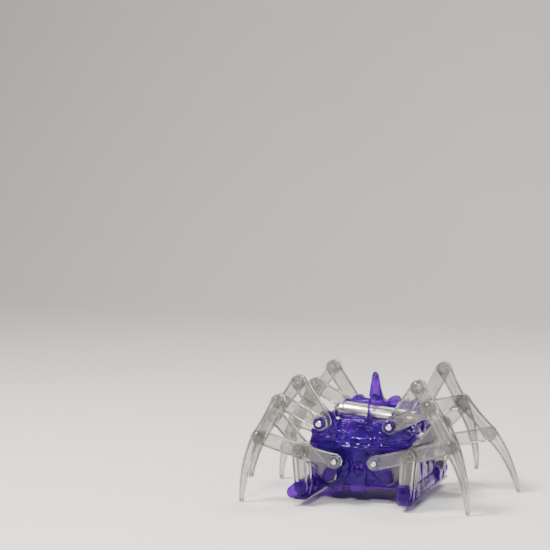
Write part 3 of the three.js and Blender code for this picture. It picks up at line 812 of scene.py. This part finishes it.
def shell_side(s):
    """A long side's seam lip and slope ribs, and an end's stop for the cell, ribs and rail over the seam."""
    stop = CELL_X + s * (CELL_HALF + 1.5)
    stop_x = sorted((stop, stop + s * 1.6))
    rib_x, rail_x = sorted((s * 26.8, s * 29.2)), sorted((s * 27.4, s * 29.6))
    return [
        seam_lip(s, SEAM_Z + 0.3, SEAM_Z + 1.3, 24.3),
        leaned(bar(*stop_x, -7.5, 7.5, 37.7, 44.2, 0.4)),
        *[slope_rib(x, s) for x in (-10.5, -3.5, 3.5, 10.5)],
        *[bar(*rib_x, y - 0.6, y + 0.6, 32.6, 38.6, 0.3) for y in (-19, -11, 11, 19)],
        bar(*rail_x, -23.4, 23.4, 31.95, 33.0, 0.35),
    ]


def shell_corner(hand, out):
    """The ear that carries an upper pivot, with its boss and web, and two bosses on the wall beside it."""
    x = hand * UPPER_X
    ear = [(x - 7.5, SEAM_Z + 1.2), (x + 7.5, SEAM_Z + 1.2), *arc(x, UPPER_Z, 5.1, -20, 200, 12)]
    return [
        rounded(plate(ear, out * 21.6, out * 24), 0.5, 3),
        turned(sided(EAR_BOSS, out), x, UPPER_Z),
        bar(x - 1, x + 1, *sorted((out * 12, out * 22)), 36, 41, 0.3),
        turned(sided(SIDE_BOSS, out), hand * 25.6, 38.4),
        turned(sided(LOW_BOSS, out), hand * 11.6, 36.6),
    ]


def make_shell():
    shell = cut(shell_body(0, 0), trough(CELL_RADIUS + 0.5))
    shell = cut(shell, cut(shell_body(SHELL_WALL, 4), trough(CELL_RADIUS + 0.5 + SHELL_WALL)))
    corners = [part for _, hand, out in CORNERS for part in shell_corner(hand, out)]
    screw_bosses = [upright(SHELL_SCREW_BOSS, x, y) for x, y in SHELL_SCREWS.values()]
    shell = union(shell, *shell_side(-1), *shell_side(1), *corners, *screw_bosses)
    holes = [
        turned([(1.6, out * 22.5), (1.6, out * 30)], hand * UPPER_X, UPPER_Z, 20) for _, hand, out in CORNERS
    ]
    switch_slot = block(26.2, 30, -14, -7.6, 35.4, 37.4)
    return cut(shell, *holes, switch_slot)


piece("upper_hull", make_shell(), "frame", "violet_plastic", ["upper_shell"])
for side, (x, y) in SHELL_SCREWS.items():
    piece(f"{side}_shell_screw", standing_screw(x, y, 44.4, 0.9, 1.8, 30), "frame", "steel")

# Deck, fin and loop

DECK_BOSS = [(2.6, 50.5), (2.6, 52.2), (2.3, 52.5), (1.8, 52.5), (1.7, 52.1), (0.5, 52.1)]
FIN_SHARE = 0.3  # the fin takes this share of the stations, and the loop has the rest


def fin_and_loop():
    """A tall fin that thins into a strap, which bends over the top and comes down in front of the cell."""
    outer_top = [Vector(p) for p in arc(4.6, 63.8, 4.7, 8, 143, 9)]
    inner_top = [Vector(p) for p in arc(4.6, 63.6, 2.7, 10, 166, 9)]
    outer = bezier((19, 50), (11.5, 53), (9.3, 63.2), 8) + outer_top
    inner = bezier((8.6, 50), (8.2, 56), (7.3, 63), 8) + inner_top
    outer += bezier((0.8, 66.6), (-7.3, 55), (-9.9, 44.0), 10)[1:]
    inner += bezier((1.9, 63.4), (-6.4, 54.5), (-8.2, 44.0), 10)[1:]
    loops = []
    for i, (a, b) in enumerate(zip(outer, inner)):
        share = i / (len(outer) - 1)
        if share < FIN_SHARE:
            half = 4.6 - 2.9 * (share / FIN_SHARE) ** 0.7
        else:
            half = max(1.7 - (share - FIN_SHARE) / 0.25, 0.7)
        middle = (a + b) / 2
        from_a, from_b = a + (middle - a) * 0.35, b + (middle - b) * 0.35
        narrow = half * 0.7
        loops.append([
            (-narrow, *a), (narrow, *a), (half, *from_a), (half, *from_b),
            (narrow, *b), (-narrow, *b), (-half, *from_b), (-half, *from_a),
        ])
    return loft(loops)


def make_deck():
    """A hollow box with round ridges across its top, rails, ribs, screw bosses, the fin and the loop."""
    side = [(-19, 43.9), (25, 43.9), (25.6, 49), (21, 51.5), (-13, 51.5), (-18, 49)]
    box = rounded(plate(side, 8.6, 19.5), 0.8, 3)
    box = cut(box, block(-16, 22, 10.4, 17.7, 42, 49.6))
    ridges = [
        turned([(r - 0.4, 11.3), (r, 11.7), (r, 17.3), (r - 0.4, 17.7)], x, 50.8)
        for x, r in ((-12, 3.2), (9, 3.4), (21, 2.6))
    ]
    rails = [bar(-18.3, 25.1, near, far, 46.6, 47.6, 0.35) for near, far in ((8.2, 9.6), (18.5, 19.9))]
    ribs = [
        bar(x - 0.6, x + 0.6, near, far, 44.3, 50.6, 0.3)
        for near, far in ((8.0, 9.5), (18.6, 20.1)) for x in (-15.5, -7.5, 6.5, 13.5, 20.0)
    ]
    bosses = [upright(DECK_BOSS, x, y) for x, y in DECK_SCREWS]
    loop_foot = bar(-2, 2, -10.4, -8, 43.9, 45.2, 0.3)
    return union(box, *ridges, fin_and_loop(), *rails, *ribs, *bosses, loop_foot)


piece("rear_deck", make_deck(), "frame", "violet_plastic", ["top_deck_and_loop"])
for i, (x, y) in enumerate(DECK_SCREWS):
    piece(f"deck_screw_{i + 1}", standing_screw(x, y, 52.05, 0.8, 1.6, 15 + 40 * i), "frame", "steel")

# Cell, contacts and switch

CELL_PROFILE = [  # radius, and distance to the left of the middle: nub, shoulder, band groove and base
    (1.0, 22.25), (1.7, 22.2), (1.9, 22.0), (1.95, 21.3), (3.9, 21.25), (4.25, 21.0), (4.45, 20.4),
    (4.5, 19.2), (4.75, 18.4), (5.15, 18.0), (5.25, 17.6), (5.25, 0.35), (5.12, 0.22), (5.12, -0.02),
    (5.25, -0.15), (5.25, -21.3), (5.1, -21.75), (4.7, -21.95), (4.4, -22.05), (4.2, -22.2), (1.0, -22.25),
]


def make_cell():
    turns = circle(48)
    return leaned(loft([
        [(CELL_X - x, r * math.cos(t), CELL_Z + r * math.sin(t)) for t in turns] for r, x in CELL_PROFILE
    ]))


def make_knob():
    """The switch's stem and cap, with three grip ridges."""
    return union(
        bar(26.6, 29.6, -12, -9.6, 35.8, 37, 0.2),
        bar(29.5, 31.2, -12.6, -9, 35, 37.8, 0.35),
        *[bar(31.0, 31.5, y - 0.3, y + 0.3, 35.3, 37.5, 0.12) for y in (-11.8, -10.8, -9.8)],
    )


piece("cell", make_cell(), "frame", "cell_can", ["battery"], sharp=40)
for s, side in ((-1, "left"), (1, "right")):
    near = CELL_X + s * (CELL_HALF + 0.3)
    strip = leaned(bar(*sorted((near, near + s * 0.8)), -4.2, 4.2, 41.2, 48.2, 0.3))
    piece(f"{side}_spring_plate", strip, "frame", "steel", [f"{side}_contact"])
piece("switch_knob", make_knob(), "switch_slider", "white_nylon", ["power_switch"])

# CAD nodes that keep their shape

for name, slot in (
    ("motor", "motor_can"), ("motor_end_cap", "white_nylon"), ("left_axle", "steel"), ("right_axle", "steel"),
    ("left_axle_gear", "white_nylon"), ("right_axle_gear", "white_nylon"), ("idler_gear", "white_nylon"),
    ("motor_pinion", "brass_pinion"),
):
    shown = frame["nodes"][name]
    shown.data.materials.clear()
    shown.data.materials.append(LOOK[slot])

# Stage, in metres


def stage_material(name, dark, light):
    material, tree, shader, where = new_material(name)
    shader.inputs["Roughness"].default_value = 0.55
    cloud = noise(tree, where, Scale=3.0, Detail=2.0)
    tree.links.new(two_tone(tree, cloud, dark, light, 0.0, 1.0), shader.inputs["Base Color"])
    return material


def make_floor():
    """A floor that curves up into a wall behind the robot."""
    turns = [i * math.pi / 16 for i in range(9)]
    sweep = [(-1.2, 0), *[(0.9 + 0.5 * math.sin(t), 0.5 - 0.5 * math.cos(t)) for t in turns], (1.4, 1.8)]
    mesh = bpy.data.meshes.new("floor")
    mesh.from_pydata(
        [(x, y, z) for y, z in sweep for x in (-2.5, 2.5)], [],
        [(2 * i, 2 * i + 1, 2 * i + 3, 2 * i + 2) for i in range(len(sweep) - 1)],
    )
    mesh.polygons.foreach_set("use_smooth", [True] * len(mesh.polygons))
    floor = bpy.data.objects.new("floor", mesh)
    scene.collection.objects.link(floor)
    mesh.materials.append(stage_material("pale_floor", (0.60, 0.575, 0.545), (0.66, 0.635, 0.605)))


def area_light(name, at, size, power, colour, target=(0, 0, 0.03)):
    light = bpy.data.lights.new(name, "AREA")
    light.shape = "RECTANGLE"
    light.size, light.size_y = size
    light.energy, light.color = power, colour
    lamp = bpy.data.objects.new(name, light)
    lamp.location = at
    lamp.rotation_euler = (Vector(at) - Vector(target)).to_track_quat("Z", "Y").to_euler()
    scene.collection.objects.link(lamp)


make_floor()

world = bpy.data.worlds.new("studio")
scene.world = world
world.use_nodes = True
background = world.node_tree.nodes["Background"]
background.inputs["Color"].default_value = (0.86, 0.90, 1.0, 1)
background.inputs["Strength"].default_value = 0.22

area_light("key", (-0.42, -0.30, 0.80), (0.34, 0.22), 21.0, (1.0, 0.97, 0.93))
area_light("fill", (0.80, -0.55, 0.55), (0.16, 0.40), 5.0, (0.92, 0.95, 1.0))
area_light("overhead", (0.0, 1.25, 1.6), (1.8, 0.6), 9.0, (1.0, 1.0, 1.0), (0, 0.9, 0))
area_light("sparkle", (0.02, -0.75, 0.50), (0.05, 0.04), 6.0, (1.0, 0.99, 0.97))
area_light("rim", (0.22, 0.42, 0.85), (0.5, 0.25), 7.0, (1.0, 1.0, 1.0))

# Camera, placed and aimed in the body's axes

CAMERA_AT, CAMERA_AIM, CAMERA_LENS = (290.7, -1084.7, 217.7), (-54.9, -5.0, 121.4), 134.39
camera_data = bpy.data.cameras.new("camera")
camera_data.lens, camera_data.sensor_width = CAMERA_LENS, 36.0
camera_data.clip_start, camera_data.clip_end = 0.01, 20.0
camera = bpy.data.objects.new("camera", camera_data)
camera.location = place(CAMERA_AT)
camera.rotation_euler = (place(CAMERA_AT) - place(CAMERA_AIM)).to_track_quat("Z", "Y").to_euler()
scene.collection.objects.link(camera)
scene.camera = camera
